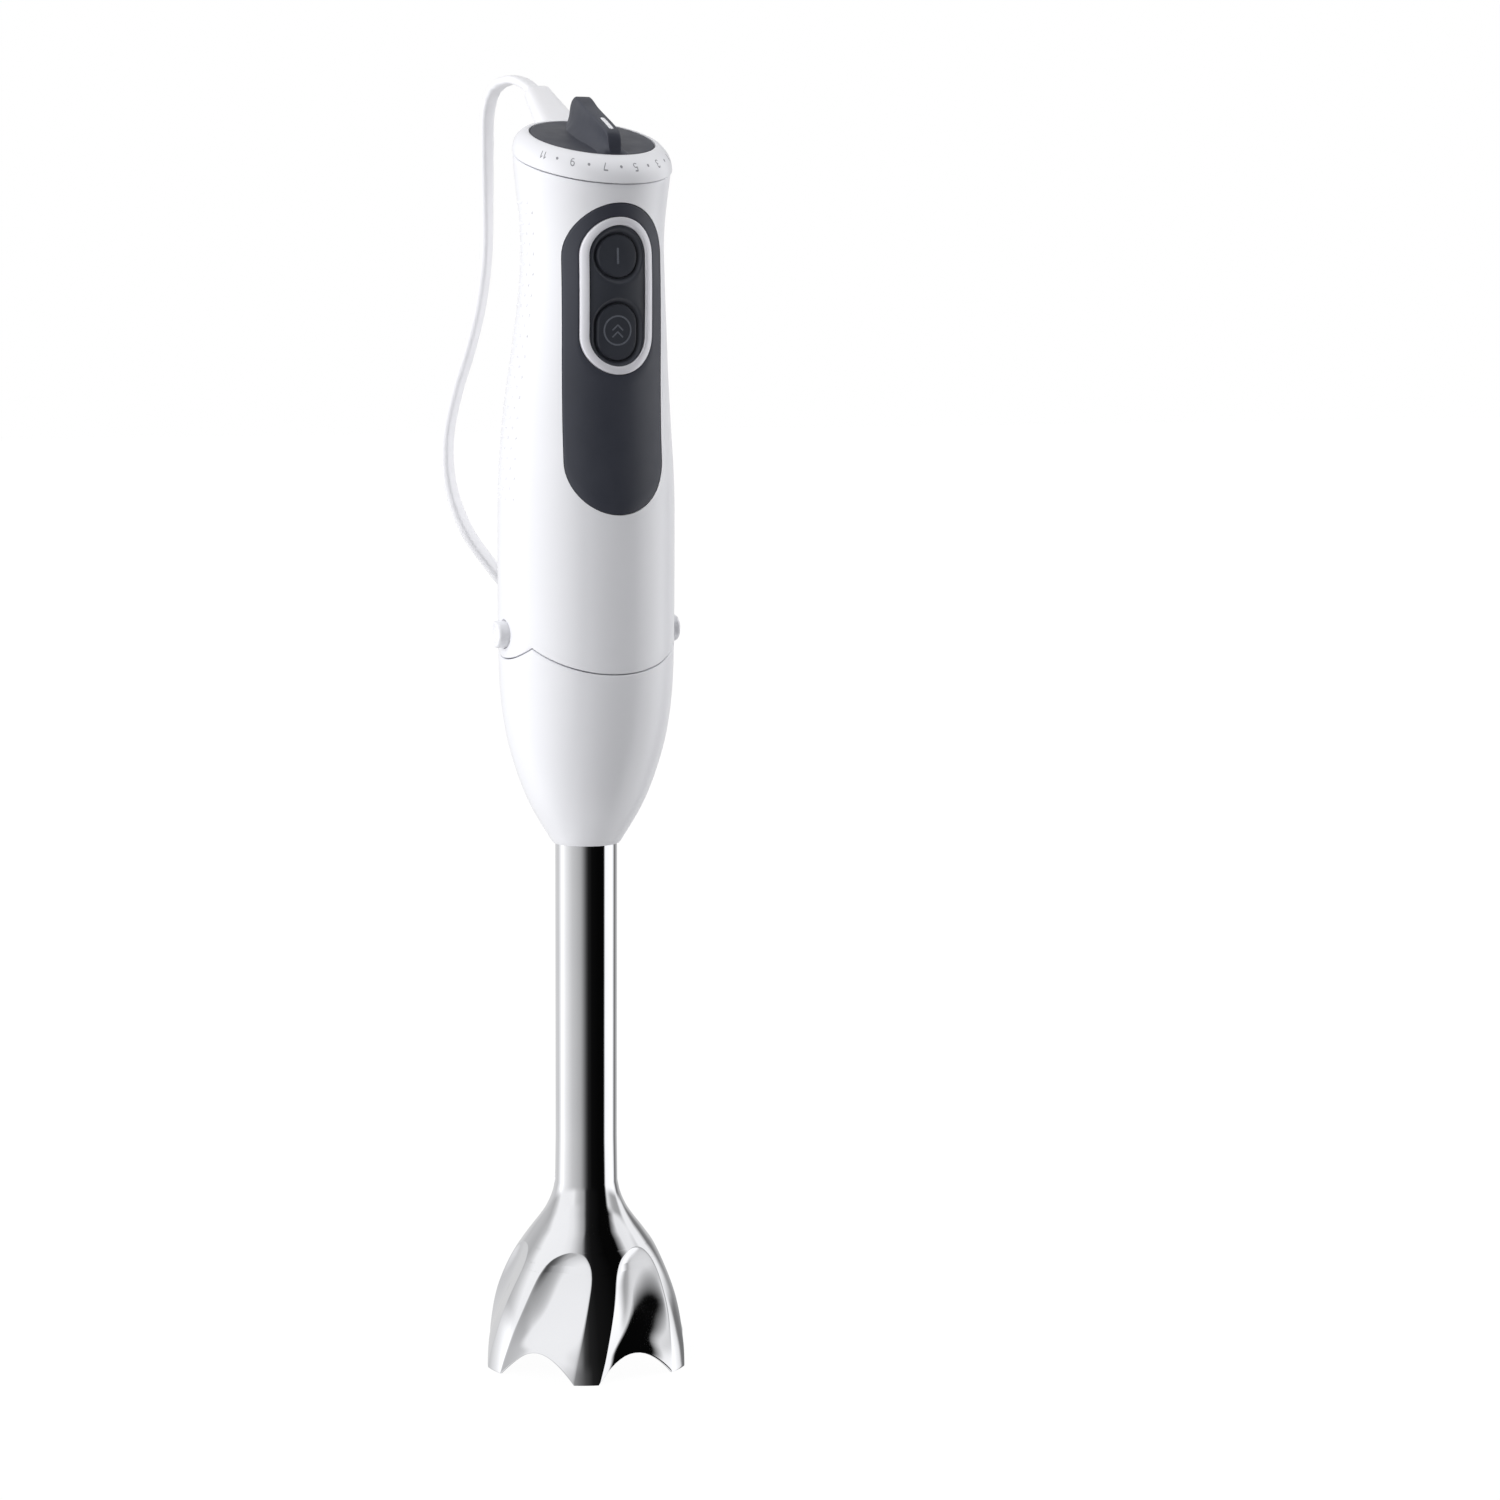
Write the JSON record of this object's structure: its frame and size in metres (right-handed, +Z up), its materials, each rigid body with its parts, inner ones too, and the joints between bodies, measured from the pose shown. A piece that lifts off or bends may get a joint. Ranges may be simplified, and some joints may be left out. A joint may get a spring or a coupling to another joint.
{
  "type": "immersion blender",
  "caption": "Corded stick blender with a speed dial, two front buttons and a detachable steel shaft with a fluted blade guard, its flat cord folded into a hank.",
  "frame": {"origin": "on the floor under the axis of the shaft, the middle of the ring of feet under the blade guard", "axes": "+Z up along the shaft, -Y towards the front with the buttons and the speed scale, +X to the right of someone facing the buttons"},
  "size_m": [0.0886, 0.1451, 0.3936],
  "materials": {
    "steel": "mirror-polished stainless steel",
    "white_plastic": "white, satin gloss",
    "dark_plastic": "dark grey, fine satin",
    "soft_plastic": "near-black soft-touch rubber",
    "silver_plastic": "light silver grey, satin",
    "black_rubber": "matt",
    "inner_plastic": "moulded, unpainted",
    "iron": "bare electrical steel and zinc-plated screws",
    "copper": "lacquered copper",
    "bronze": "sintered bronze",
    "carbon": "graphite",
    "board": "lacquered circuit board",
    "cord_plastic": "white flexible PVC, satin",
    "brass": "nickel-free brass, bright",
    "bare_steel": "machined steel"
  },
  "bodies": {
    "shaft": {"blade_guard": "steel", "shaft_tube": "steel", "shaft_collar": "white_plastic", "shaft_seal": "black_rubber", "lower_bush_holder": "inner_plastic", "lower_bush": "bronze", "upper_bush": "bronze"},
    "blade_rotor": {"blade": "bare_steel", "blade_hub": "bare_steel", "blade_nut": "bare_steel", "drive_rod": "bare_steel", "drive_socket": "dark_plastic"},
    "motor_unit": {"grip_shell": "white_plastic", "top_cap": "white_plastic", "control_panel": "dark_plastic", "panel_ring": "silver_plastic", "button_surround": "soft_plastic", "lower_bracket": "inner_plastic", "lower_bearing": "bronze", "stator_core": "iron", "field_coil_left": "copper", "field_coil_right": "copper", "upper_bracket": "inner_plastic", "upper_bearing": "bronze", "brush_holder_left": "brass", "brush_holder_right": "brass", "carbon_brush_left": "carbon", "carbon_brush_right": "carbon", "control_board": "board", "board_screw_lower": "iron", "board_screw_upper": "iron", "power_switch": "dark_plastic", "turbo_switch": "dark_plastic", "noise_capacitor": "inner_plastic", "speed_regulator": "inner_plastic", "latch_spring": "bare_steel", "cord_strain_relief": "cord_plastic", "mains_cord": "cord_plastic", "cord_hank": "cord_plastic", "plug_lead": "cord_plastic", "plug_body": "cord_plastic", "plug_pin_left": "brass", "plug_pin_right": "brass"},
    "motor_rotor": {"drive_dog": "dark_plastic", "motor_shaft": "bare_steel", "cooling_fan": "inner_plastic", "armature_core": "iron", "armature_winding_lower": "copper", "armature_winding_upper": "copper", "commutator": "copper"},
    "speed_dial": {"speed_dial": "dark_plastic", "dial_pointer": "white_plastic"},
    "power_button": {"power_button": "soft_plastic"},
    "turbo_button": {"turbo_button": "soft_plastic"},
    "release_button_left": {"release_button_left": "white_plastic"},
    "release_button_right": {"release_button_right": "white_plastic"}
  },
  "joints": [
    {"name": "motor_lift", "type": "slide", "parent": "shaft", "child": "motor_unit", "axis": [0, 0, 1], "range_m": [0, 0.05]},
    {"name": "motor_spin", "type": "hinge", "parent": "motor_unit", "child": "motor_rotor", "pos_m": [0, 0, 0.26], "axis": [0, 0, 1], "continuous": true},
    {"name": "blade_spin", "type": "hinge", "parent": "shaft", "child": "blade_rotor", "pos_m": [0, 0, 0.1], "axis": [0, 0, 1], "continuous": true},
    {"name": "dial_turn", "type": "hinge", "parent": "motor_unit", "child": "speed_dial", "pos_m": [0, -0.0047, 0.3723], "axis": [0, -0.2924, 0.9563], "range_deg": [-66.5, 66.5]},
    {"name": "power_press", "type": "slide", "parent": "motor_unit", "child": "power_button", "axis": [0, 1, 0], "range_m": [0, 0.0015], "stiffness_N_per_m": 800, "springref_m": -0.001},
    {"name": "turbo_press", "type": "slide", "parent": "motor_unit", "child": "turbo_button", "axis": [0, 1, 0], "range_m": [0, 0.0015], "stiffness_N_per_m": 800, "springref_m": -0.001},
    {"name": "release_left", "type": "slide", "parent": "motor_unit", "child": "release_button_left", "axis": [1, 0, 0], "range_m": [0, 0.0018], "stiffness_N_per_m": 1000, "springref_m": -0.001},
    {"name": "release_right", "type": "slide", "parent": "motor_unit", "child": "release_button_right", "axis": [-1, 0, 0], "range_m": [0, 0.0018], "stiffness_N_per_m": 1000, "springref_m": -0.001}
  ],
  "couplings": [
    {"joint": "blade_spin", "follows": "motor_spin", "ratio": 1}
  ]
}
